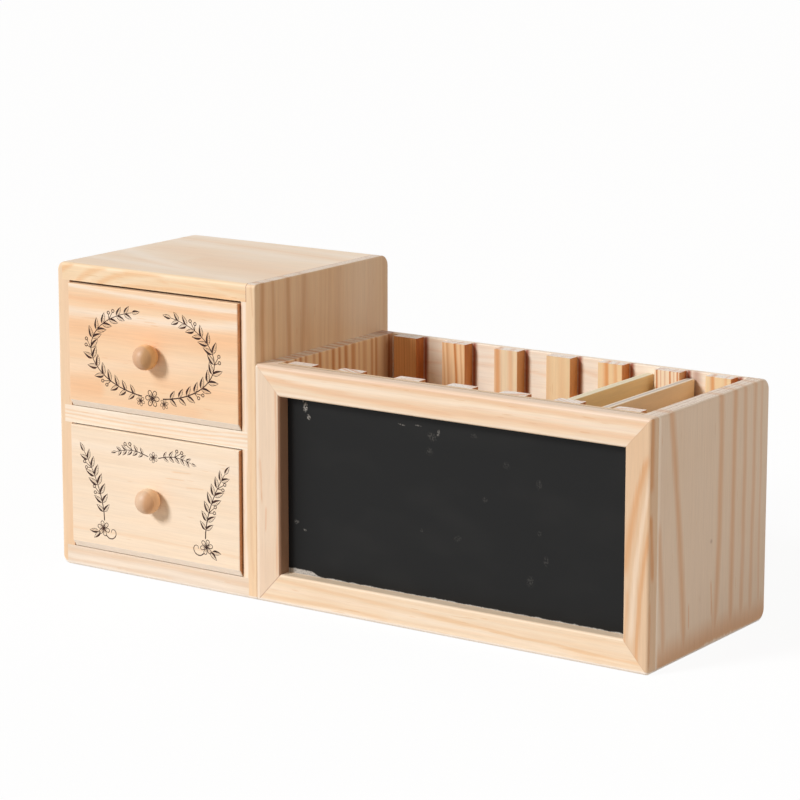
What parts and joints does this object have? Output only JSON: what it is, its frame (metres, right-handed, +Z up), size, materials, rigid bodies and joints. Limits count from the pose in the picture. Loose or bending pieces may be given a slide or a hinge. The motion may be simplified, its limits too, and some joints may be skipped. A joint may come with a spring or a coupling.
{
  "type": "desk organizer with drawers",
  "caption": "Small pine desk organizer: a tower of drawers beside an open tray that has a framed blackboard for its front and batten slots for loose dividers",
  "frame": {"origin": "on the underside, in the middle of the rectangle that the tower and the tray cover", "axes": "+X along the front, from the tower towards the tray's free end; the drawers open towards -Y; +Z up"},
  "size_m": [0.33, 0.1205, 0.15],
  "materials": {
    "pine": "knot-free solid pine, sanded and finished with clear semi-gloss lacquer",
    "turned_pine": "turned and lacquered pine",
    "blackboard_panel": "thin wooden panel with matt black chalkboard paint on its front",
    "divider_board": "thin pale plywood, lightly lacquered",
    "screw_steel": "zinc-plated steel"
  },
  "bodies": {
    "case": {"blackboard": "blackboard_panel", "frame_bottom_rail": "pine", "frame_left_stile": "pine", "frame_right_stile": "pine", "frame_top_rail": "pine", "front_batten_1": "pine", "front_batten_2": "pine", "front_batten_3": "pine", "front_batten_4": "pine", "front_batten_5": "pine", "front_batten_6": "pine", "front_batten_7": "pine", "rear_batten_1": "pine", "rear_batten_2": "pine", "rear_batten_3": "pine", "rear_batten_4": "pine", "rear_batten_5": "pine", "rear_batten_6": "pine", "rear_batten_7": "pine", "tower_back": "pine", "tower_base": "pine", "tower_left_side": "pine", "tower_right_side": "pine", "tower_shelf": "pine", "tower_top": "pine", "tray_back_wall": "pine", "tray_end_panel": "pine", "tray_floor": "pine", "tray_left_wall": "pine"},
    "divider_1": {"divider_1": "divider_board"},
    "divider_2": {"divider_2": "divider_board"},
    "lower_drawer": {"lower_drawer_back": "pine", "lower_drawer_bottom": "pine", "lower_drawer_front": "pine", "lower_drawer_knob": "turned_pine", "lower_drawer_knob_screw": "screw_steel", "lower_drawer_left_side": "pine", "lower_drawer_right_side": "pine"},
    "upper_drawer": {"upper_drawer_back": "pine", "upper_drawer_bottom": "pine", "upper_drawer_front": "pine", "upper_drawer_knob": "turned_pine", "upper_drawer_knob_screw": "screw_steel", "upper_drawer_left_side": "pine", "upper_drawer_right_side": "pine"}
  },
  "joints": [
    {"name": "upper_drawer_slide", "type": "slide", "parent": "case", "child": "upper_drawer", "axis": [0, -1, 0], "range_m": [0, 0.085]},
    {"name": "lower_drawer_slide", "type": "slide", "parent": "case", "child": "lower_drawer", "axis": [0, -1, 0], "range_m": [0, 0.085]},
    {"name": "divider_1_lift", "type": "slide", "parent": "case", "child": "divider_1", "axis": [0, 0, 1], "range_m": [0, 0.11]},
    {"name": "divider_2_lift", "type": "slide", "parent": "case", "child": "divider_2", "axis": [0, 0, 1], "range_m": [0, 0.11]}
  ]
}
